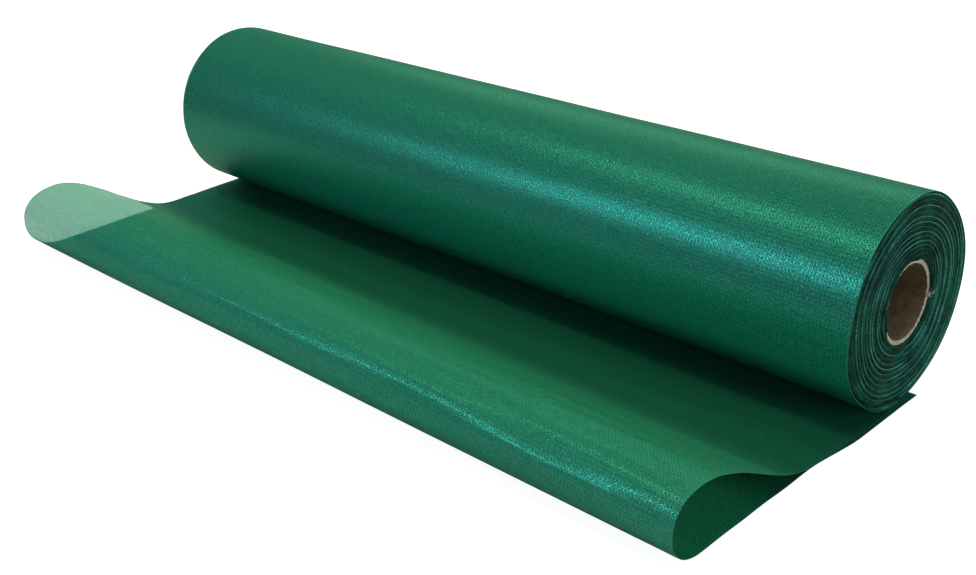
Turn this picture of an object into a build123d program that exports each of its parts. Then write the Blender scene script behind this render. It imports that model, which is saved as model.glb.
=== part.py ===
from build123d import *

import os
from math import degrees

# Roll of sheet material wound on a paperboard core, with a folded leader lying in front of it.
#
# Units are millimetres. +X runs along the roll's axis, the leader lies towards -Y, and +Z is up.
# The origin is on the core's axis, halfway across the web's width.
#
# The web is one continuous sheet. Solids can't flex, so it is cut where it bends or moves: the
# wound web and its outer lap, the strip at the nip, and the leader's run, hump, nose and flap.

# Driving dimensions
WEB_WIDTH = 1050.0
WEB_THICKNESS = 0.5
ROLL_RADIUS = 108.0
CORE_BORE_RADIUS = 38.1
CORE_WALL = 4.5
FACE_GAP = 0.05  # between sheets that lie on one another

# Core: a thin liner, several body plies and a thin outer wrap, glued to one another
LINER_THICKNESS = 0.4
OUTER_PLY_THICKNESS = 0.3
BODY_PLIES = 4
GLUE_LINE = 0.02

# Tape that holds the web's inner end to the core
TAPE_THICKNESS = 0.2
TAPE_WIDTH = 12.0
TAPE_END_MARGIN = 25.0

# Wound web: each modelled turn stands for a bundle of seven or so thin laps
TURNS = 15
TURN_GAP = 0.4
FIRST_TURN_CLEARANCE = 0.4
SPIRAL_START = 270  # degrees from +Y towards +Z: the roll's lowest line

# Leader, measured along the floor from the line where the roll touches it
NIP_HALF_LENGTH = 14.0
RUN_LENGTH = 146.0
CREST_REACH = 318.0
CREST_HEIGHT = 72.0
NOSE_REACH = 44.0
FREE_END_REACH = 25.0

# Levels of the three stacked sheets under the roll, from the roll's lowest line down to the floor
LAYER_PITCH = WEB_THICKNESS + FACE_GAP
STRIP_TOP = -ROLL_RADIUS - FACE_GAP
RUN_TOP = STRIP_TOP - LAYER_PITCH
FLAP_TOP = RUN_TOP - LAYER_PITCH
FLOOR = FLAP_TOP - WEB_THICKNESS

CORE_RADIUS = CORE_BORE_RADIUS + CORE_WALL


def across_width(profile, width=WEB_WIDTH):
    """A YZ profile, drawn as (y, z), extruded along X and centred on the web's width."""
    return extrude(Plane.YZ * profile, amount=width / 2, both=True)


def tube(inner_radius, outer_radius):
    """A tube on the roll's axis, as long as the web is wide."""
    return across_width(Circle(outer_radius) - Circle(inner_radius))


def sheet(back, front, top):
    """A flat length of web from y = back to y = front, with its upper face at z = top."""
    profile = Rectangle(back - front, WEB_THICKNESS, align=(Align.MIN, Align.MAX))
    return across_width(Pos(front, top) * profile)


def core_plies():
    """The core's layers from the bore outwards, as {name: tube}."""
    body_thickness = (CORE_WALL - LINER_THICKNESS - OUTER_PLY_THICKNESS) / BODY_PLIES
    layers = [("core_inner_liner", LINER_THICKNESS)]
    for number in range(1, BODY_PLIES + 1):
        layers.append((f"core_body_ply_{number}", body_thickness))
    layers.append(("core_outer_ply", OUTER_PLY_THICKNESS))

    plies = {}
    inner = CORE_BORE_RADIUS
    for name, thickness in layers:
        outer = inner + thickness
        plies[name] = tube(inner, outer - GLUE_LINE)
        inner = outer
    return plies


def start_tape():
    """A strip of double-sided tape along the core, under the first turn of web."""
    inner = CORE_RADIUS + GLUE_LINE
    outer = inner + TAPE_THICKNESS
    sweep_angle = -degrees(TAPE_WIDTH / CORE_RADIUS)
    inner_arc = CenterArc((0, 0), inner, SPIRAL_START, sweep_angle)
    outer_arc = CenterArc((0, 0), outer, SPIRAL_START, sweep_angle)
    ends = [Line(inner_arc @ end, outer_arc @ end) for end in (0, 1)]
    profile = make_face([inner_arc, outer_arc, *ends])
    return across_width(profile, WEB_WIDTH - 2 * TAPE_END_MARGIN)


def wound_web():
    """A spiral that starts and ends at the roll's lowest line, and winds clockwise seen from +X.

    Each turn is two half circles. The front one centres on the axis and the back one half a pitch
    below it, so that the radius has grown by a pitch when the turn is back at the lowest line.
    """
    inner_start = CORE_RADIUS + FIRST_TURN_CLEARANCE
    outer_limit = ROLL_RADIUS - WEB_THICKNESS - FACE_GAP
    pitch = (outer_limit - inner_start + TURN_GAP) / (TURNS + 1)
    turn_thickness = pitch - TURN_GAP
    half_pitch = pitch / 2

    def spiral(start_radius):
        arcs = []
        for turn in range(TURNS):
            radius = start_radius + turn * pitch
            arcs.append(CenterArc((0, 0), radius, SPIRAL_START, -180))
            arcs.append(CenterArc((0, -half_pitch), radius + half_pitch, SPIRAL_START - 180, -180))
        return arcs

    inner_face = spiral(inner_start)
    outer_face = spiral(inner_start + turn_thickness)
    start = Line(inner_face[0] @ 0, outer_face[0] @ 0)
    end = Line(inner_face[-1] @ 1, outer_face[-1] @ 1)
    return across_width(make_face([*inner_face, *outer_face, start, end]))


def leader_hump():
    """The web rising off the floor, level at both ends and steepest halfway."""
    third = (CREST_REACH - RUN_LENGTH) / 3

    def rise(low, high):
        return Bezier(
            (-RUN_LENGTH, low),
            (-RUN_LENGTH - third, low),
            (-CREST_REACH + third, high),
            (-CREST_REACH, high),
        )

    crest = FLOOR + CREST_HEIGHT
    upper = rise(RUN_TOP, crest)
    lower = rise(RUN_TOP - WEB_THICKNESS, crest - WEB_THICKNESS)
    ends = [Line(upper @ end, lower @ end) for end in (0, 1)]
    return across_width(make_face([upper, lower, *ends]))


def leader_nose():
    """The half-elliptical front of the leader, where the web turns back under itself."""
    outer = Ellipse(NOSE_REACH, CREST_HEIGHT / 2)
    inner = Ellipse(NOSE_REACH - WEB_THICKNESS, CREST_HEIGHT / 2 - WEB_THICKNESS)
    front_half = Rectangle(NOSE_REACH, CREST_HEIGHT, align=(Align.MAX, Align.CENTER))
    profile = (outer - inner) & front_half
    return across_width(Pos(-CREST_REACH, FLOOR + CREST_HEIGHT / 2) * profile)


def build():
    """Every piece of the roll, as {node name: solid}."""
    nodes = core_plies()
    nodes["start_tape"] = start_tape()
    nodes["wound_web"] = wound_web()
    nodes["outer_lap"] = tube(ROLL_RADIUS - WEB_THICKNESS, ROLL_RADIUS)
    nodes["nip_strip"] = sheet(NIP_HALF_LENGTH, -NIP_HALF_LENGTH, STRIP_TOP)
    nodes["leader_run"] = sheet(NIP_HALF_LENGTH, -RUN_LENGTH, RUN_TOP)
    nodes["leader_hump"] = leader_hump()
    nodes["leader_nose"] = leader_nose()
    nodes["return_flap"] = sheet(FREE_END_REACH, -CREST_REACH, FLAP_TOP)
    return nodes


os.makedirs("parts", exist_ok=True)
for node_name, solid in build().items():
    export_step(solid, f"parts/{node_name}.step")
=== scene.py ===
import math

import bpy
import numpy as np
from mathutils import Matrix, Vector

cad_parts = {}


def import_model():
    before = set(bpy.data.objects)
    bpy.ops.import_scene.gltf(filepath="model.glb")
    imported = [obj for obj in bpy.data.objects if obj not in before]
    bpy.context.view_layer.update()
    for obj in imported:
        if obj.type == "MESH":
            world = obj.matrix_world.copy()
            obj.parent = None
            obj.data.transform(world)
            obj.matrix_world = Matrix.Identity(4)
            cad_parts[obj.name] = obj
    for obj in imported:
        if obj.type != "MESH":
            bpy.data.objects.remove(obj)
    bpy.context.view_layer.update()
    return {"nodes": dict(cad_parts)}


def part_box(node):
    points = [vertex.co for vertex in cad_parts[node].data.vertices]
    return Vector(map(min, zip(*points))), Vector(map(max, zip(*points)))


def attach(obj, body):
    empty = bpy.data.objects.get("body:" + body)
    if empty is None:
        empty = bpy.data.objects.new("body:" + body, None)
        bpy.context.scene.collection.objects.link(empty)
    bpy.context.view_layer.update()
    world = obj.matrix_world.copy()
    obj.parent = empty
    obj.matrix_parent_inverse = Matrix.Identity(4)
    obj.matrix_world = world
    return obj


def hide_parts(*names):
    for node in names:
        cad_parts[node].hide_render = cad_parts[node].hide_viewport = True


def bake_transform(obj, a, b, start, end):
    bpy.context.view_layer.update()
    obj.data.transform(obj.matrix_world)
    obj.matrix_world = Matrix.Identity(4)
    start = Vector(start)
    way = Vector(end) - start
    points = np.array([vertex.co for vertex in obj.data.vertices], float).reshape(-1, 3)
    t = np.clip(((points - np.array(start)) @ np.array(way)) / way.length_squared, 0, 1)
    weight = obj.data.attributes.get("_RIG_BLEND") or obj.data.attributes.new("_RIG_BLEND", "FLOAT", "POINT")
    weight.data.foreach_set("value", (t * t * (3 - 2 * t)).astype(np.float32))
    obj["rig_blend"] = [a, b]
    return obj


# A roll of thin green point-bonded sheet on a paperboard core, lying on its own folded leader.
# Metres, in the CAD frame: +X along the roll, the leader towards -Y, +Z up.
# The near end is the one at +X, which the camera sees. The far end is the one at -X.

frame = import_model()

# ---------------------------------------------------------------- sizes taken from the frame

lap_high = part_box("outer_lap")[1]
flap_low, flap_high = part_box("return_flap")
run_low, run_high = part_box("leader_run")
hump_low, hump_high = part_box("leader_hump")

HALF_WIDTH = lap_high.x
ROLL_RADIUS = lap_high.y
THICKNESS = flap_high.z - flap_low.z
FLOOR = flap_low.z
RUN_LEVEL = (run_low.z + run_high.z) / 2
FLAP_LEVEL = (flap_low.z + flap_high.z) / 2
NIP_BACK = run_high.y
FREE_END = flap_high.y
LIFT_OFF = hump_high.y
CREST = hump_low.y
CREST_LEVEL = hump_high.z
CORE_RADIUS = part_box("core_outer_ply")[1].y


def node_wall(node):
    """A tube node's wall thickness, from the radii of its vertices."""
    points = np.array([v.co for v in frame["nodes"][node].data.vertices], float)
    radii = np.hypot(points[:, 1], points[:, 2])
    return radii.max() - radii.min()


BODY_PLIES = [f"core_body_ply_{number}" for number in range(1, 5)]
PLY_WALLS = {node: node_wall(node) for node in ["core_inner_liner", *BODY_PLIES, "core_outer_ply"]}
BORE_RADIUS = CORE_RADIUS - sum(PLY_WALLS.values())

# ---------------------------------------------------------------- driving values: the sheet

BOND_PITCH_ACROSS = 0.0038
BOND_PITCH_ALONG = 0.0042
EDGE_BAND = 0.0011  # width of the band along the web's cut edges

# The leader's side view, from its far edge to its near edge
NEAR_RISE = 0.925  # height of the crest over the floor, as a share of the CAD's
FAR_RISE = 1.075
NEAR_REACH = 0.0400  # how far the nose bulges past the crest
FAR_REACH = 0.0483
NOSE_POWER = 2.25  # a superellipse, a little squarer than an ellipse

# How far the leader's edges leave straight lines, and where along Y, in roll radii
FLAP_FLARE = 0.0072
FLAP_FLARE_SPAN = (-1.45, -0.75)
FAR_FLAP_FLARE_SHARE = 0.3
RUN_FLARE = 0.0040
RUN_FLARE_SPAN = (-1.5, -0.6)
FAR_BULGE = 0.0062
FAR_BULGE_MIDDLE, FAR_BULGE_SPREAD = -2.3, 0.55
EDGE_WANDER = 0.0002

# Heights of the leader's broad cockles, its fine creases and the waves of its flat run
COCKLE = 0.00055
CREASE = 0.00010
RUN_WAVE = 0.0001
RUN_WAVE_SPAN = (-0.45, -0.9)  # along Y, in roll radii: none under the roll
LIFTED_HEIGHT = 0.03  # by this height over the run, the cockles are at their full height
CALM_EDGE = 0.06  # the width along each edge over which the cockles fade
CALM_SHARE = 0.2

# Heights over the flap, in roll radii, by which the sheet is out of its own shade
RUN_SHADE_HEIGHT = 0.12
NOSE_SHADE_HEIGHT = 0.28
OPAQUE_BELOW = 0.11  # lower than this, no light comes through the run or the hump
CLEAR_ABOVE = 0.27
FLAP_SHADE = 1.3  # how much deeper the shade is on the folded-back layer

RUN, HUMP, NOSE, FLAP = range(4)
RUN_ROWS, HUMP_ROWS, NOSE_ROWS, FLAP_ROWS = 60, 79, 89, 79
LEADER_COLUMNS = 150
STRETCHED_FOOT = 0.014  # how much of the hump's foot stretches with the run when the roll travels

# ---------------------------------------------------------------- driving values: the roll

# How finely the roll's meshes are divided
LAP_ANGLES, WEB_ANGLES, CORE_ANGLES = 420, 480, 260
LAP_COLUMNS = 90
WEB_RADII = 200
LINER_STATIONS, PLY_STATIONS = 180, 12

# The outer lap: how far its edges stand out past the width, and how unevenly
NEAR_LAP_OVERHANG = 0.0022
FAR_LAP_OVERHANG = 0.0012
NEAR_LAP_WANDER = 0.0009
FAR_LAP_WANDER = 0.0008
LAP_SWELL = 0.00012
LAP_INSET = 0.0001  # leaves room for the swell
LAP_LOOSENESS = 0.0007  # how far the lap stands off at the near end, on its loose side
LAP_LOOSE_SIDE = math.radians(-135)
LAP_LOOSE_FROM, LAP_LOOSE_TO = -0.03, 0.002  # along X, from the width's near end

# The wound laps' ends: bundles of laps stand out as ridges
FACE_RIDGES = 14
LAPS_PER_RIDGE = 7
RIDGE_HEIGHT = 0.0030
RIDGE_WIDTH = 0.17  # as a share of the ridges' pitch
LAP_RELIEF = 0.00035
TURN_BUNCHING = 0.22  # how far the ridges wander from even spacing, in ridges' pitches
DEPTH_BUNCHING = 0.35
FACE_INSET = 0.001  # how far the laps' ends lie inside the width before any relief
CORE_TELESCOPING = 0.0030  # how far the laps stand out at the core, and how fast that fades
CORE_TELESCOPING_FADE = 0.08
LAP_TELESCOPING = 0.0014
GAP_DEPTH = 0.005  # of the gap behind the outer laps
GAP_OPENS = (0.9, 0.95)  # shares of the way from the core to the outer lap
GAP_CLOSES = (0.965, 1.0)
GAP_SIDE = math.radians(-120)
CORE_SHADOW = (0.02, 0.12)  # shares over which the laps come out of the painted shade next to the core
CORE_CLEARANCE = 0.0002
LAP_CLEARANCE = 0.0004

# The core: its seam, and how far each ply's cut ends fray
SEAM_PITCH = 0.115
SEAM_WIDTH = 0.0018
SEAM_DEPTH = 0.00012
LINER_FRAY, BODY_FRAY, OUTER_FRAY = 0.0003, 0.00022, 0.00035

# Torn fibres on the rim: how many, their angle and its spread in degrees, lengths and thickness
TUFTS = [
    (14, -9, 1.5, 0.004, 0.0085, 0.0004),
    (8, 158, 1.5, 0.002, 0.0045, 0.0004),
]
FLUFF_COUNT = 170
FLUFF_SHORTEST, FLUFF_LONGEST, FLUFF_THICK = 0.0006, 0.0018, 0.00007
FIBRE_ROOT_DEPTH = 0.0003
FIBRE_RIM_MARGIN = 0.0002
FIBRE_SIDES, FIBRE_JOINTS = 4, 5

# ---------------------------------------------------------------- helpers: noise and meshes


def waves(seed, count, *axes):
    """Smooth noise of about unit height: a sum of cosines.

    Each axis is its values and the longest and shortest wavelength along it.
    """
    random = np.random.default_rng(seed)
    total = 0.0
    for _ in range(count):
        phase = random.uniform(0, 2 * math.pi)
        for values, longest, shortest in axes:
            wavelength = math.exp(random.uniform(math.log(shortest), math.log(longest)))
            phase = phase + values * (2 * math.pi / wavelength * random.choice([-1, 1]))
        total = total + np.cos(phase)
    return total * math.sqrt(2 / count)


def turn_waves(seed, lowest, highest, angle):
    """Noise round a circle, of about unit height, with whole numbers of waves per turn."""
    random = np.random.default_rng(seed)
    total = 0.0
    for n in range(lowest, highest + 1):
        total = total + random.uniform(0.5, 1) * np.cos(n * angle + random.uniform(0, 2 * math.pi))
    return total / math.sqrt(0.3 * (highest - lowest + 1))


def smooth(low, high, value):
    """0 below low, 1 above high, and a smooth step between them."""
    t = np.clip((value - low) / (high - low), 0, 1)
    return t * t * (3 - 2 * t)


def grid_faces(rows, columns, close_rows=False, close_columns=False, start=0):
    """The quads of a grid of points, row by row."""
    i, j = np.meshgrid(
        np.arange(rows if close_rows else rows - 1),
        np.arange(columns if close_columns else columns - 1),
        indexing="ij",
    )
    i2, j2 = (i + 1) % rows, (j + 1) % columns
    quads = np.stack([i * columns + j, i * columns + j2, i2 * columns + j2, i2 * columns + j], -1)
    return quads.reshape(-1, 4) + start


def link(name, data):
    """A new object that shows data, in the scene."""
    made = bpy.data.objects.new(name, data)
    bpy.context.scene.collection.objects.link(made)
    return made


def mesh_piece(name, points, faces, material, uv, attributes):
    """A smooth-shaded mesh object. uv is (across, along) at each corner of each face, in metres."""
    mesh = bpy.data.meshes.new(name)
    mesh.from_pydata(np.asarray(points, float).reshape(-1, 3).tolist(), [], np.asarray(faces).tolist())
    mesh.update()
    layer = mesh.uv_layers.new(name="web")
    layer.data.foreach_set("uv", np.asarray(uv, np.float32).ravel())
    for key, values in attributes.items():
        made = mesh.attributes.new(key, "FLOAT", "POINT")
        made.data.foreach_set("value", np.asarray(values, np.float32).ravel())
    mesh.polygons.foreach_set("use_smooth", [True] * len(mesh.polygons))
    mesh.set_sharp_from_angle(angle=math.radians(40))
    mesh.materials.append(material)
    return link(name, mesh)


# ---------------------------------------------------------------- helpers: materials

BUMP_DEPTH = 0.0003


class Tree:
    """Short calls for building one material's nodes."""

    def __init__(self, name):
        self.material = bpy.data.materials.new(name)
        self.material.use_nodes = True
        self.tree = self.material.node_tree
        self.tree.nodes.clear()

    def feed(self, socket, value):
        if isinstance(value, bpy.types.NodeSocket):
            self.tree.links.new(value, socket)
        else:
            socket.default_value = value

    def node(self, kind, settings=None, **sockets):
        made = self.tree.nodes.new("ShaderNode" + kind)
        for key, value in (settings or {}).items():
            setattr(made, key, value)
        for key, value in sockets.items():
            self.feed(made.inputs[key.replace("_", " ")], value)
        return made

    def math(self, operation, *values):
        made = self.node("Math", {"operation": operation})
        for socket, value in zip(made.inputs, values):
            self.feed(socket, value)
        return made.outputs[0]

    def plus(self, a, b):
        return self.math("ADD", a, b)

    def minus(self, a, b):
        return self.math("SUBTRACT", a, b)

    def times(self, a, b):
        return self.math("MULTIPLY", a, b)

    def rest(self, share):
        """What a share leaves of the whole."""
        return self.minus(1.0, share)

    def step(self, value, low, high, to_low=0.0, to_high=1.0):
        made = self.node("MapRange", {"interpolation_type": "SMOOTHSTEP"}, Value=value)
        for key, number in zip(("From Min", "From Max", "To Min", "To Max"), (low, high, to_low, to_high)):
            made.inputs[key].default_value = number
        return made.outputs[0]

    def mix(self, factor, a, b):
        made = self.node("Mix", {"data_type": "RGBA"})
        for socket, value in zip((made.inputs[0], made.inputs[6], made.inputs[7]), (factor, a, b)):
            self.feed(socket, value)
        return made.outputs[2]

    def vector(self, x, y, z=0.0):
        return self.node("CombineXYZ", None, X=x, Y=y, Z=z).outputs[0]

    def parts(self, vector):
        return self.node("SeparateXYZ", None, Vector=vector).outputs

    def place(self):
        return self.node("TexCoord").outputs["Object"]

    def noise(self, vector, scale, detail, roughness):
        made = self.node("TexNoise", None, Vector=vector, Scale=scale, Detail=detail, Roughness=roughness)
        return made.outputs[0]

    def attribute(self, name):
        return self.node("Attribute", {"attribute_name": name}).outputs["Fac"]

    def bump(self, height, strength):
        return self.node("Bump", None, Strength=strength, Distance=BUMP_DEPTH, Height=height).outputs[0]

    def principled(self, colour, roughness, specular, tint=None, **sockets):
        made = self.node("BsdfPrincipled", None, Base_Color=colour, Roughness=roughness, **sockets)
        made.inputs["Specular IOR Level"].default_value = specular
        if tint:
            made.inputs["Specular Tint"].default_value = tint
        return made

    def mix_shader(self, factor, a, b):
        made = self.node("MixShader")
        for socket, value in zip(made.inputs, (factor, a, b)):
            self.feed(socket, value)
        return made.outputs[0]

    def finish(self, shader):
        self.tree.links.new(shader, self.node("OutputMaterial").inputs["Surface"])
        return self.material


def rgb(red, green, blue):
    return (red, green, blue, 1.0)


def darker(colour, share):
    """The colour with its brightness cut to a share."""
    return rgb(*(channel * share for channel in colour[:3]))


# ---------------------------------------------------------------- materials

BLACK = rgb(0.0, 0.0, 0.0)
WHITE = rgb(1.0, 1.0, 1.0)
SHEEN_TINT = rgb(0.12, 0.95, 0.70)
CUT_EDGE_GREEN = rgb(0.06, 0.30, 0.20)
END_TINT = rgb(0.4, 1.0, 0.9)
BOND_SHADE = 0.6
OPAQUE_SHADE = 0.44  # painted shade: what the colour loses where no light comes through from below
SEATED_SHADE = 0.24  # and the painted shade where the sheet lies on the floor
STREAK_SCALE, FIBRE_SCALE, CLOUD_SCALE = 170.0, 750.0, 110.0
PORE_SPREAD = 0.14  # how unevenly light comes through, as a share of the mean
FLOOR_GREY = rgb(0.36, 0.36, 0.36)
FLOOR_LIFT = 0.92


def web_place(t):
    """Where a point is on the web, across and along it. A stretched run keeps its pattern's size."""
    across, along, _ = t.parts(t.node("UVMap", {"uv_map": "web"}).outputs[0])
    laid = t.attribute("laid_flat")
    behind = t.times(t.parts(t.place())[1], laid)
    return across, t.minus(t.times(along, t.rest(laid)), behind)


def bond_points(t, across, along):
    """The staggered rows of bond points: 1 on a point and 0 between them."""
    wave_across = t.math("COSINE", t.times(across, 2 * math.pi / BOND_PITCH_ACROSS))
    wave_along = t.math("COSINE", t.times(along, 2 * math.pi / BOND_PITCH_ALONG))
    rows = t.times(wave_across, 0.35)
    return t.step(t.plus(t.times(wave_across, wave_along), rows), 0.1, 0.9)


def fibre_grain(t, across, along):
    """Streaks that run along the web, broken up by single fibres."""
    streaks = t.noise(t.vector(t.times(across, 4.5), along), STREAK_SCALE, 3.0, 0.65)
    fibres = t.noise(t.vector(across, t.times(along, 0.7)), FIBRE_SCALE, 2.0, 0.6)
    return t.step(t.times(t.plus(streaks, fibres), 0.5), 0.36, 0.64)


def web_fabric(name, dark, light, sheen_share, gloss, see_through=0.0, tint=None, glow=0.0):
    """Point-bonded sheet: staggered bond points, fibre streaks, cloudy density and a coloured sheen.

    see_through is the share of light that passes straight through one face, tinted by tint, and glow
    the share of the rest that passes scattered.
    """
    t = Tree(name)
    across, along = web_place(t)
    bond = bond_points(t, across, along)
    grain = fibre_grain(t, across, along)
    clouds = t.noise(t.vector(across, along), CLOUD_SCALE, 3.0, 0.6)
    density = t.plus(t.times(clouds, 0.5), t.times(grain, 0.5))
    edge = t.attribute("cut_edge")
    closed = t.attribute("closed")

    shade = t.times(bond, BOND_SHADE)
    colour = t.mix(t.step(density, 0.1, 0.9), dark, light)
    colour = t.mix(shade, colour, darker(dark, 0.25))
    colour = t.mix(t.times(edge, 0.4), colour, CUT_EDGE_GREEN)
    # Painted shade near the floor: darker where the sheet is closed to light from below and where it lies on
    # the floor.
    opaque_left = t.rest(t.times(closed, OPAQUE_SHADE))
    seated_left = t.rest(t.times(t.attribute("seated"), SEATED_SHADE))
    colour = t.mix(t.times(opaque_left, seated_left), BLACK, colour)

    bump = t.bump(t.minus(t.times(grain, 0.30), t.times(bond, 0.50)), 1.0)
    body = t.principled(colour, roughness=0.35, specular=0.18, tint=SHEEN_TINT, Normal=bump)
    sheen = t.node("BsdfAnisotropic", None, Color=SHEEN_TINT, Roughness=gloss, Normal=bump).outputs[0]
    glitter = t.times(t.step(grain, 0.0, 1.0, 0.35, 1.0), t.rest(shade))
    shader = t.mix_shader(t.times(glitter, sheen_share), body.outputs[0], sheen)
    if see_through:
        scattered = t.node("BsdfTranslucent", None, Color=t.mix(0.5, light, tint), Normal=bump).outputs[0]
        shader = t.mix_shader(glow, shader, scattered)
        most, least = see_through * (1 + PORE_SPREAD), see_through * (1 - PORE_SPREAD)
        pores = t.step(density, 0.25, 0.75, most, least)
        covered = t.math("MAXIMUM", t.times(edge, 0.85), closed)
        clear = t.node("BsdfTransparent", None, Color=tint).outputs[0]
        shader = t.mix_shader(t.times(pores, t.rest(covered)), shader, clear)
    return t.finish(shader)


def wound_edges():
    """The laps' cut edges at the roll's ends, with painted light: pale on the proud ridges as a painted
    highlight, nearly black in the gaps as painted shade.
    """
    t = Tree("wound_edges")
    place = t.place()
    grain = t.noise(place, 700.0, 3.0, 0.65)
    patches = t.step(t.noise(place, 60.0, 3.0, 0.6), 0.35, 0.65)
    # Painted shade: the gaps between the ridges, in patches of two dark greens.
    side = t.mix(patches, rgb(0.002, 0.022, 0.014), rgb(0.006, 0.090, 0.055))
    pale = t.mix(t.step(grain, 0.35, 0.65), rgb(0.03, 0.26, 0.16), rgb(0.17, 0.66, 0.53))
    # How strongly each patch of ridge gets the painted highlight.
    patchy_light = t.step(t.noise(place, 28.0, 2.0, 0.6), 0.35, 0.65, 0.35, 1.0)
    proud = t.step(t.attribute("ridge"), 0.25, 0.85)
    colour = t.mix(t.times(proud, patchy_light), side, pale)
    bump = t.bump(t.times(grain, 0.6), 0.8)
    surface = t.principled(colour, roughness=0.62, specular=0.4, tint=END_TINT, Normal=bump)
    return t.finish(surface.outputs[0])


def board(name, dark, light, scale, seam=False):
    """Grey or kraft paperboard: short fibres, specks and, down the bore, a helical seam's shade."""
    t = Tree(name)
    place = t.place()
    x, y, z = t.parts(place)
    fibres = t.noise(t.vector(x, t.times(y, 4.0), t.times(z, 4.0)), scale, 4.0, 0.65)
    blots = t.noise(place, scale * 0.12, 3.0, 0.6)
    specks = t.step(t.noise(place, scale * 3.0, 1.0, 0.5), 0.68, 0.74)
    colour = t.mix(t.step(t.times(t.plus(fibres, blots), 0.5), 0.32, 0.68), dark, light)
    colour = t.mix(t.times(specks, 0.5), colour, darker(dark, 0.4))
    if seam:
        colour = t.mix(t.times(t.attribute("seam"), 0.55), colour, darker(dark, 0.5))
    surface = t.principled(colour, roughness=0.85, specular=0.4, Normal=t.bump(fibres, 0.6))
    return t.finish(surface.outputs[0])


def pale_floor():
    """A matt floor, lifted to white where the camera sees it bare or through at most two faces."""
    t = Tree("pale_floor")
    path = t.node("LightPath").outputs
    uncovered = t.math("LESS_THAN", path["Transparent Depth"], 2.5)
    lift = t.times(t.times(path["Is Camera Ray"], uncovered), FLOOR_LIFT)
    surface = t.principled(FLOOR_GREY, roughness=0.8, specular=0.1, Emission_Strength=lift)
    surface.inputs["Emission Color"].default_value = WHITE
    return t.finish(surface.outputs[0])


ROLL_FABRIC = web_fabric(
    "roll_fabric",
    dark=rgb(0.007, 0.090, 0.049),
    light=rgb(0.015, 0.208, 0.113),
    sheen_share=0.42,
    gloss=0.25,
)
# The leader's colours are those of the lifted sheet; painted shade darkens them near the floor.
LEADER_FABRIC = web_fabric(
    "leader_fabric",
    dark=rgb(0.028, 0.255, 0.155),
    light=rgb(0.054, 0.460, 0.275),
    sheen_share=0.50,
    gloss=0.25,
    see_through=0.44,
    tint=rgb(0.82, 1.0, 0.94),
    glow=0.22,
)
EDGE_MATERIAL = wound_edges()
LINER_BOARD = board("liner_board", rgb(0.16, 0.12, 0.06), rgb(0.40, 0.31, 0.17), 260.0, seam=True)
BODY_BOARD = board("body_board", rgb(0.44, 0.43, 0.35), rgb(0.68, 0.68, 0.57), 500.0)
TORN_BOARD = board("torn_board", rgb(0.58, 0.57, 0.47), rgb(0.82, 0.82, 0.70), 500.0)
TAPE = board("start_tape_film", rgb(0.6, 0.58, 0.5), rgb(0.75, 0.73, 0.66), 900.0)


# ---------------------------------------------------------------- the leader sheet


def leader_line(near):
    """The leader's middle line at each share of the way from the far edge (0) to the near edge (1).

    Returns y and z at each station from the nip to the free end, shaped (stations, shares), and the
    part of the leader that each station is on.
    """
    rise = NEAR_RISE * near + FAR_RISE * (1 - near)
    reach = NEAR_REACH * near + FAR_REACH * (1 - near)
    crest_level = FLOOR + (CREST_LEVEL - FLOOR) * rise - THICKNESS / 2

    run_y = np.linspace(NIP_BACK, LIFT_OFF, RUN_ROWS)[:, None] + 0 * near
    run_z = RUN_LEVEL + 0 * run_y

    t = np.linspace(0, 1, HUMP_ROWS + 1)[1:, None]
    hump_y = LIFT_OFF + (CREST - LIFT_OFF) * t + 0 * near
    hump_z = RUN_LEVEL + (crest_level - RUN_LEVEL) * smooth(0, 1, t)

    angle = np.linspace(0, math.pi, NOSE_ROWS + 1)[1:, None]
    middle = (crest_level + FLAP_LEVEL) / 2
    half_height = (crest_level - FLAP_LEVEL) / 2
    nose_y = CREST - reach * np.abs(np.sin(angle)) ** (2 / NOSE_POWER)
    nose_z = middle + half_height * np.sign(np.cos(angle)) * np.abs(np.cos(angle)) ** (2 / NOSE_POWER)

    flap_y = np.linspace(CREST, FREE_END, FLAP_ROWS + 1)[1:, None] + 0 * near
    flap_z = FLAP_LEVEL + 0 * flap_y
    y = np.concatenate([run_y, hump_y, nose_y, flap_y])
    z = np.concatenate([run_z, hump_z, nose_z, flap_z])
    part = np.repeat([RUN, HUMP, NOSE, FLAP], [RUN_ROWS, HUMP_ROWS, NOSE_ROWS, FLAP_ROWS])
    return y, z, part[:, None]


def across_span(span, y):
    """0 at the first end of a span along Y, 1 at the second, and a smooth step between them."""
    return smooth(span[0] * ROLL_RADIUS, span[1] * ROLL_RADIUS, y)


def leader_across(share, y, along, part):
    """x over the leader, between a near edge that flares and a far edge that bows out at the hump."""
    flap_flare = FLAP_FLARE * across_span(FLAP_FLARE_SPAN, y) * (part == FLAP)
    run_flare = RUN_FLARE * across_span(RUN_FLARE_SPAN, y) * (part <= HUMP)
    from_bulge = (y - FAR_BULGE_MIDDLE * ROLL_RADIUS) / (FAR_BULGE_SPREAD * ROLL_RADIUS)
    far_bulge = FAR_BULGE * np.exp(-(from_bulge**2)) * (part == HUMP)
    wander = EDGE_WANDER * waves(11, 9, (along, 0.3, 0.05))
    near_edge = HALF_WIDTH + flap_flare + run_flare + wander
    far_edge = -HALF_WIDTH - FAR_FLAP_FLARE_SHARE * flap_flare - far_bulge - wander
    return far_edge + (near_edge - far_edge) * share[None, :]


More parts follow.
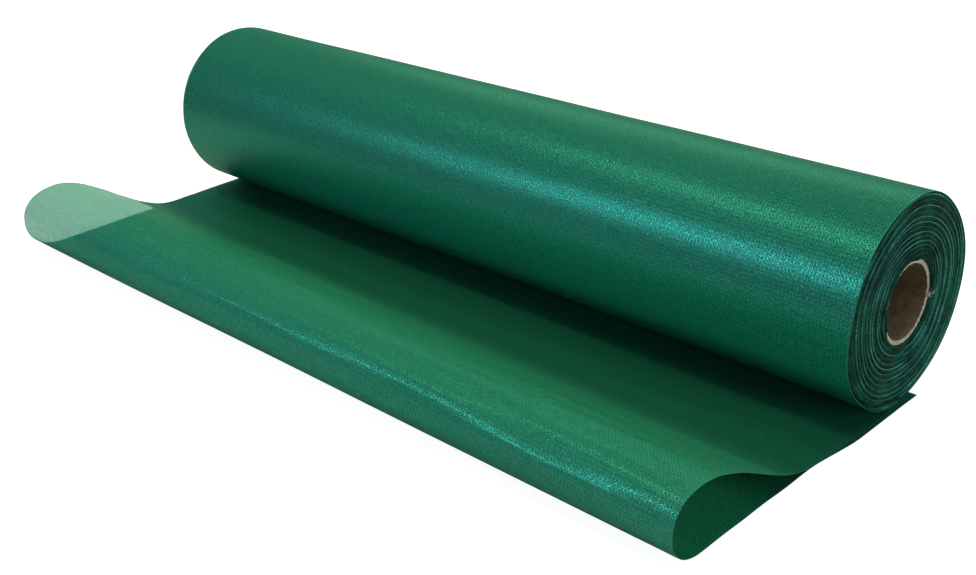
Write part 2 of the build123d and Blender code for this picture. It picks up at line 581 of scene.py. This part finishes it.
def leader_relief(x, y, z, along, part):
    """How far the sheet stands off its middle line: cockled where it is lifted, faint waves on the run."""
    cockle = COCKLE * waves(5, 14, (x, 0.9, 0.25), (along, 0.12, 0.03))
    creases = CREASE * waves(6, 18, (x, 3.0, 0.9), (along, 0.03, 0.008))
    lifted = smooth(0, LIFTED_HEIGHT, z - RUN_LEVEL) * (part < FLAP)
    inland = CALM_SHARE + (1 - CALM_SHARE) * smooth(0, CALM_EDGE, HALF_WIDTH - np.abs(x))
    run_wave = RUN_WAVE * (1 + waves(7, 12, (x, 0.7, 0.2), (along, 0.08, 0.03)))
    clear_of_roll = (part <= HUMP) * across_span(RUN_WAVE_SPAN, y)
    return (cockle + creases) * lifted * inland + run_wave * clear_of_roll * (1 - lifted)


def leader_shade(z, part):
    """How far the sheet is in its own shade near the floor, and how far it is closed to light."""
    height = z - FLAP_LEVEL
    shade_height = np.where(part < NOSE, RUN_SHADE_HEIGHT, NOSE_SHADE_HEIGHT) * ROLL_RADIUS
    seated = 1 - smooth(0, shade_height, height)
    opaque = 1 - smooth(OPAQUE_BELOW * ROLL_RADIUS, CLEAR_ABOVE * ROLL_RADIUS, height)
    closed = np.where(part < NOSE, opaque, seated)
    deeper = np.where(part == FLAP, FLAP_SHADE, 1)
    return seated * deeper, closed * deeper


def leader_faces(rows, columns):
    """The outward faces of a thin closed sheet: top, bottom and the narrow rim between them."""
    count = rows * columns
    upper = grid_faces(rows, columns)[:, ::-1]
    lower = grid_faces(rows, columns, start=count)
    ring = np.concatenate([
        np.arange(columns),
        np.arange(1, rows) * columns + columns - 1,
        (rows - 1) * columns + np.arange(columns - 2, -1, -1),
        np.arange(rows - 2, 0, -1) * columns,
    ])
    following = np.roll(ring, -1)
    rim = np.stack([ring, following, following + count, ring + count], -1)
    return np.concatenate([upper, lower, rim])


def banded_shares(count):
    """Shares of the way across the web, evenly spaced, with one more just inside each cut edge."""
    band = EDGE_BAND / (2 * HALF_WIDTH)
    shares = np.linspace(0, 1, count)
    return np.insert(shares, [1, count - 1], [band, 1 - band])


def both_faces(values):
    """One value for each point of the top, and again for each point of the bottom."""
    return np.concatenate([values.ravel(), values.ravel()])


def leader_sheet():
    """One closed thin sheet from the nip over the hump, round the nose and back under the roll."""
    share = banded_shares(LEADER_COLUMNS)
    y, z, part = leader_line(share[None, :])
    rows, columns = y.shape

    step = np.hypot(np.diff(y, axis=0), np.diff(z, axis=0))
    along = np.vstack([np.zeros((1, columns)), np.cumsum(step, axis=0)]) - NIP_BACK
    x = leader_across(share, y, along, part)

    tangent_y, tangent_z = np.gradient(y, axis=0), np.gradient(z, axis=0)
    length = np.hypot(tangent_y, tangent_z)
    normal = np.stack([0 * y, tangent_z / length, -tangent_y / length], -1)
    middle = np.stack([x, y, z], -1) + normal * leader_relief(x, y, z, along, part)[..., None]
    top = middle + normal * (THICKNESS / 2)
    bottom = middle - normal * (THICKNESS / 2)
    points = np.concatenate([top.reshape(-1, 3), bottom.reshape(-1, 3)])
    faces = leader_faces(rows, columns)

    uv_points = np.stack([x, along], -1).reshape(-1, 2)
    uv = np.concatenate([uv_points, uv_points])[faces.ravel()]
    edge = np.zeros((rows, columns))
    edge[:, [0, -1]] = 1
    edge[-1, :] = 1
    laid = np.broadcast_to((part == RUN) * 1.0, y.shape)
    # seated and closed set the painted shade near the floor; closed also stops light through the sheet.
    seated, closed = leader_shade(z, part)
    shown = {"cut_edge": edge, "laid_flat": laid, "seated": seated, "closed": closed}
    attributes = {key: both_faces(values) for key, values in shown.items()}
    piece = mesh_piece("leader_sheet", points, faces, LEADER_FABRIC, uv, attributes)
    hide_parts("leader_run", "leader_hump", "leader_nose", "return_flap", "nip_strip")

    # The run stretches after the roll as it travels; the folded-back layer under it stays where it is.
    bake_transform(piece, "leader", "nip", start=(0, LIFT_OFF - STRETCHED_FOOT, 0), end=(0, 0, 0))
    weights = np.zeros(len(points), np.float32)
    blend = piece.data.attributes["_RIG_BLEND"].data
    blend.foreach_get("value", weights)
    weights[both_faces(np.broadcast_to(part >= NOSE, y.shape))] = 0
    blend.foreach_set("value", weights)


# ---------------------------------------------------------------- the roll


def circle_angles(count):
    """Evenly spaced angles from the roll's lowest line round to it again."""
    return np.arange(count) / count * 2 * math.pi - math.pi / 2


def section_ring(name, node, angles, walls, material, attributes, along_scale=ROLL_RADIUS):
    """A closed solid of revolution that stands for a CAD node and turns with the roll.

    Its section is closed by two walls, each (x, radius) shaped (angles, stations) and both going the
    same way. The first wall is the one that faces the axis or the near end. An attribute has an
    array for each wall.
    """
    first, second = walls
    section_x = np.concatenate([first[0], second[0][:, ::-1]], 1)
    section_r = np.concatenate([first[1], second[1][:, ::-1]], 1)
    rows, columns = section_x.shape
    turn = angles[:, None]
    points = np.stack([section_x, section_r * np.cos(turn), section_r * np.sin(turn)], -1)
    faces = grid_faces(rows, columns, close_rows=True, close_columns=True)
    here = turn + 0 * section_x
    following = here + 2 * math.pi / rows
    corner_angle = np.stack([here, here, following, following], -1)
    corner_x = section_x.ravel()[faces].reshape(rows, columns, 4)
    uv = np.stack([corner_x, corner_angle * along_scale], -1)
    joined = {key: np.concatenate([a, b[:, ::-1]], 1) for key, (a, b) in attributes.items()}
    piece = mesh_piece(name, points, faces, material, uv, joined)
    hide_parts(node)
    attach(piece, "roll")
    return piece


def outer_lap():
    """The outermost lap: the roll's visible surface, its near edge a few millimetres proud."""
    angles = circle_angles(LAP_ANGLES)
    turn = angles[:, None]
    near_x = HALF_WIDTH + NEAR_LAP_OVERHANG + NEAR_LAP_WANDER * turn_waves(21, 1, 5, angles)
    far_x = -HALF_WIDTH - FAR_LAP_OVERHANG - FAR_LAP_WANDER * turn_waves(22, 1, 6, angles)
    x = far_x[:, None] + (near_x - far_x)[:, None] * banded_shares(LAP_COLUMNS)
    swell = LAP_SWELL * waves(23, 10, (x, 0.6, 0.15)) * np.cos(2 * turn + 1.0)
    near_end = smooth(LAP_LOOSE_FROM, LAP_LOOSE_TO, x - HALF_WIDTH)
    loose = LAP_LOOSENESS * near_end * np.cos(turn - LAP_LOOSE_SIDE).clip(0)
    outer_r = ROLL_RADIUS + swell + loose - LAP_INSET
    inner_r = outer_r - THICKNESS
    edge = 0 * x
    edge[:, [0, -1]] = 1
    walls = (x, inner_r), (x, outer_r)
    attributes = {"cut_edge": (edge, edge), "laid_flat": (0 * x, 0 * x)}
    piece = section_ring("outer_lap_sheet", "outer_lap", angles, walls, ROLL_FABRIC, attributes)


def face_relief(radius, turn, seed):
    """How far the laps stand out at one end of the roll, and how much each point is a proud edge, which sets
    its painted highlight, cut by painted shade next to the core.
    """
    depth_share = (radius - CORE_RADIUS) / (ROLL_RADIUS - CORE_RADIUS)
    bunch = TURN_BUNCHING * turn_waves(seed, 1, 5, turn) * np.sin(math.pi * depth_share)
    bunch = bunch + DEPTH_BUNCHING * np.sin(5.1 * depth_share + turn_waves(seed + 1, 1, 3, turn))
    winding = depth_share * FACE_RIDGES + (turn + math.pi / 2) / (2 * math.pi) + bunch
    number = np.floor(winding)
    within = winding - number
    strength = 0.55 + 0.45 * np.sin(number * 2.4 + 1.3 * np.sin(turn + number))
    ridge = np.exp(-(((within - 0.5) / RIDGE_WIDTH) ** 2)) * (0.45 + 0.55 * strength)
    laps = 0.5 + 0.5 * np.cos(2 * math.pi * winding * LAPS_PER_RIDGE)
    telescoping = CORE_TELESCOPING * np.exp(-depth_share / CORE_TELESCOPING_FADE)
    telescoping = telescoping + LAP_TELESCOPING * depth_share
    gap = smooth(*GAP_OPENS, depth_share) * (1 - smooth(*GAP_CLOSES, depth_share))
    gap = gap * (0.25 + 0.75 * np.cos(turn - GAP_SIDE).clip(0))
    height = telescoping + RIDGE_HEIGHT * ridge + LAP_RELIEF * laps - GAP_DEPTH * gap
    # Painted light: the share of painted highlight, strongest on the ridges and cut to a quarter next to the
    # core as painted shade.
    shown = ridge * (0.75 + 0.25 * laps) * (0.25 + 0.75 * smooth(*CORE_SHADOW, depth_share))
    return height, np.clip(shown, 0, 1)


def wound_web():
    """The wound laps as one closed body with ridged ends, from the core out to the outermost lap."""
    angles = circle_angles(WEB_ANGLES)
    turn = angles[:, None]
    inner = CORE_RADIUS + CORE_CLEARANCE
    outer = ROLL_RADIUS - THICKNESS - LAP_CLEARANCE
    radius = inner + (outer - inner) * np.linspace(0, 1, WEB_RADII)[None, :] + 0 * turn
    near_height, near_ridge_light = face_relief(radius, turn, 31)
    far_height, far_ridge_light = face_relief(radius, turn, 51)
    near_x = HALF_WIDTH + near_height - FACE_INSET
    far_x = -HALF_WIDTH - far_height + FACE_INSET
    walls = (near_x, radius), (far_x, radius)
    # The ridge attribute carries the ends' painted highlight and painted shade.
    attributes = {"ridge": (near_ridge_light, far_ridge_light)}
    piece = section_ring("wound_laps", "wound_web", angles, walls, EDGE_MATERIAL, attributes)


def core_tube(node, name, material, fray, seed, seam=False):
    """One ply of the core, with frayed ends and, on the liner, a helical seam down the bore."""
    low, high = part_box(node)
    outer = high.y
    inner = outer - PLY_WALLS[node]
    angles = circle_angles(CORE_ANGLES)
    turn = angles[:, None]
    near_x = high.x + fray * turn_waves(seed, 3, 60, angles)
    far_x = low.x - fray * turn_waves(seed + 1, 3, 60, angles)
    share = np.linspace(0, 1, LINER_STATIONS if seam else PLY_STATIONS)[None, :]
    x = far_x[:, None] + (near_x - far_x)[:, None] * share
    from_seam = np.abs(((x / SEAM_PITCH - turn / (2 * math.pi)) % 1) - 0.5) * SEAM_PITCH
    lip = np.exp(-((from_seam / SEAM_WIDTH) ** 2))
    inner_r = inner - (SEAM_DEPTH if seam else 0.0) * lip
    outer_r = outer + 0 * x
    walls = (x, inner_r), (x, outer_r)
    attributes = {"seam": (lip, 0 * lip)}
    piece = section_ring(name, node, angles, walls, material, attributes, along_scale=outer)


def core():
    """The six plies of the core."""
    core_tube("core_inner_liner", "core_liner_paper", LINER_BOARD, LINER_FRAY, 61, seam=True)
    for number, node in enumerate(BODY_PLIES, 1):
        core_tube(node, f"core_ply_{number}_board", BODY_BOARD, BODY_FRAY, 61 + 2 * number)
    core_tube("core_outer_ply", "core_outer_paper", TORN_BOARD, OUTER_FRAY, 73)


def fibre_plan(random):
    """Each torn fibre's angle round the rim, length and thickness: fluff all round and two tufts."""
    plan = []
    for _ in range(FLUFF_COUNT):
        angle = random.uniform(0, 2 * math.pi)
        plan.append((angle, random.uniform(FLUFF_SHORTEST, FLUFF_LONGEST), FLUFF_THICK))
    for count, middle, spread, shortest, longest, thick in TUFTS:
        for _ in range(count):
            angle = math.radians(random.normal(middle, spread))
            plan.append((angle, random.uniform(shortest, longest), thick))
    return plan


def fibre_points(root, outward, around, length, thick, lean):
    """The rings of points along one fibre, which leaves the rim along X and bends over as it tapers."""
    points = []
    for t in np.linspace(0, 1, FIBRE_JOINTS):
        centre = root + length * t * (1 - 0.4 * t) * np.array([1.0, 0, 0]) + length * t * t * lean
        for side in range(FIBRE_SIDES):
            a = 2 * math.pi * side / FIBRE_SIDES
            points.append(centre + thick * (1 - 0.7 * t) * (math.cos(a) * outward + math.sin(a) * around))
    return points


def torn_fibres():
    """Short torn paper fibres round the near rim of the core, each a thin bent cone."""
    random = np.random.default_rng(81)
    points, faces = [], []
    for angle, length, thick in fibre_plan(random):
        radius = random.uniform(BORE_RADIUS + FIBRE_RIM_MARGIN, CORE_RADIUS - FIBRE_RIM_MARGIN)
        outward = np.array([0, math.cos(angle), math.sin(angle)])
        around = np.array([0, -math.sin(angle), math.cos(angle)])
        root = outward * radius + np.array([HALF_WIDTH - FIBRE_ROOT_DEPTH, 0, 0])
        lean = random.normal(0.5, 0.6) * outward + random.normal(0, 0.7) * around
        first = len(points)
        last = first + (FIBRE_JOINTS - 1) * FIBRE_SIDES
        points += fibre_points(root, outward, around, length, thick, lean)
        faces += grid_faces(FIBRE_JOINTS, FIBRE_SIDES, close_columns=True, start=first).tolist()
        faces.append([first + side for side in reversed(range(FIBRE_SIDES))])
        faces.append([last + side for side in range(FIBRE_SIDES)])
    mesh = bpy.data.meshes.new("torn_rim_fibres")
    mesh.from_pydata([tuple(point) for point in points], [], faces)
    mesh.materials.append(TORN_BOARD)
    piece = link("torn_rim_fibres", mesh)
    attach(piece, "roll")


def start_tape():
    """The tape between the core and the first lap stays the CAD's own shape."""
    slots = frame["nodes"]["start_tape"].data.materials
    slots.clear()
    slots.append(TAPE)


# ---------------------------------------------------------------- floor, light and camera

WARM = (1.0, 0.98, 0.66)
COOL = (0.78, 0.90, 1.10)
BLUE = (0.80, 0.78, 1.45)
NEUTRAL = (1.0, 1.0, 0.97)
WORLD_COLOUR = (0.88, 0.90, 1.18, 1.0)
WORLD_STRENGTH = 0.14
SEEN_WORLD_STRENGTH = 1.2  # what the camera sees past the floor's horizon


def floor():
    """A flat square floor, a hair under the sheet."""
    size = 14.0
    level = FLOOR - 0.0001
    corners = [(x * size, y * size, level) for x, y in [(-1, -1), (1, -1), (1, 1), (-1, 1)]]
    mesh = bpy.data.meshes.new("floor")
    mesh.from_pydata(corners, [], [(0, 1, 2, 3)])
    mesh.materials.append(pale_floor())
    link("floor", mesh)


def at_elevation(degrees, distance, x):
    """A place in front of and above the roll, at an elevation seen along the roll's axis."""
    a = math.radians(degrees)
    return (x, -distance * math.cos(a), distance * math.sin(a))


def soft_light(name, place, target, size, power, colour, glossy=True):
    """A rectangular softbox at place that faces target. One that isn't glossy makes no highlight."""
    data = bpy.data.lights.new(name, "AREA")
    data.shape = "RECTANGLE"
    data.size, data.size_y = size
    data.energy = power
    data.color = colour
    lamp = link(name, data)
    lamp.location = place
    lamp.rotation_euler = (Vector(target) - Vector(place)).to_track_quat("-Z", "X").to_euler()
    lamp.visible_glossy = glossy


def shaping_lights():
    """Broad light from above and behind, so that the roll and the hump shade off towards the floor."""
    soft_light(
        "back_key",
        place=at_elevation(113, distance=2.6, x=-0.9),
        target=(-0.3, 0, 0),
        size=(2.0, 3.6),
        power=78,
        colour=WARM,
        glossy=False,
    )
    soft_light(
        "overhead",
        place=at_elevation(74, distance=1.9, x=0.1),
        target=(0.1, 0, 0),
        size=(0.2, 1.4),
        power=11,
        colour=WARM,
        glossy=False,
    )
    soft_light(
        "backdrop",
        place=at_elevation(150, distance=2.6, x=-0.9),
        target=(-0.3, 0, 0),
        size=(0.9, 3.4),
        power=6,
        colour=WARM,
    )


def highlight_strips():
    """Two narrow softboxes that draw the two highlights along the roll."""
    soft_light(
        "top_strip",
        place=at_elevation(72, distance=1.9, x=-0.45),
        target=(-0.2, 0, 0),
        size=(0.12, 1.6),
        power=2.6,
        colour=WARM,
    )
    soft_light(
        "front_strip",
        place=at_elevation(31, distance=1.9, x=-0.65),
        target=(-0.2, 0, 0),
        size=(0.16, 1.5),
        power=4.6,
        colour=COOL,
    )


def fill_lights():
    """One fill for the roll's near end, and a low one for the nose."""
    soft_light(
        "side_fill",
        place=(2.9, 0.1, 0.7),
        target=(0.5, 0, 0),
        size=(1.0, 1.0),
        power=22,
        colour=NEUTRAL,
    )
    soft_light(
        "low_fill",
        place=at_elevation(3.5, distance=2.4, x=-0.2),
        target=(0, 0, -0.05),
        size=(0.22, 2.4),
        power=8.0,
        colour=BLUE,
        glossy=False,
    )


def world():
    """A dim bluish sky that the camera sees as white."""
    sky = bpy.data.worlds.new("studio")
    bpy.context.scene.world = sky
    sky.use_nodes = True
    nodes, links = sky.node_tree.nodes, sky.node_tree.links
    background = nodes["Background"]
    background.inputs["Color"].default_value = WORLD_COLOUR
    path = nodes.new("ShaderNodeLightPath")
    strength = nodes.new("ShaderNodeMapRange")
    strength.inputs["To Min"].default_value = WORLD_STRENGTH
    strength.inputs["To Max"].default_value = SEEN_WORLD_STRENGTH
    links.new(path.outputs["Is Camera Ray"], strength.inputs["Value"])
    links.new(strength.outputs[0], background.inputs["Strength"])


def camera():
    """The eye point and turn that show the roll at the reference's angle; distances in roll radii."""
    azimuth, elevation, lean = math.radians(45.98), math.radians(25.295), -0.053
    eye = Vector((9.820, -9.865, 5.280)) * ROLL_RADIUS
    back = Vector((
        math.sin(azimuth) * math.cos(elevation),
        -math.cos(azimuth) * math.cos(elevation),
        math.sin(elevation),
    ))
    level = Vector((math.cos(azimuth), math.sin(azimuth), 0))
    upright = back.cross(level)
    right = level * math.cos(lean) + upright * math.sin(lean)
    up = upright * math.cos(lean) - level * math.sin(lean)
    data = bpy.data.cameras.new("camera")
    data.sensor_width = 36.0
    data.lens = 49.28
    data.clip_start, data.clip_end = 0.02, 60
    seer = link("camera", data)
    turn = Matrix((right, up, back)).transposed()
    seer.matrix_world = Matrix.Translation(eye) @ turn.to_4x4()
    bpy.context.scene.camera = seer


leader_sheet()
outer_lap()
wound_web()
core()
torn_fibres()
start_tape()
floor()
shaping_lights()
highlight_strips()
fill_lights()
world()
camera()
bpy.context.scene.view_settings.view_transform = "Standard"
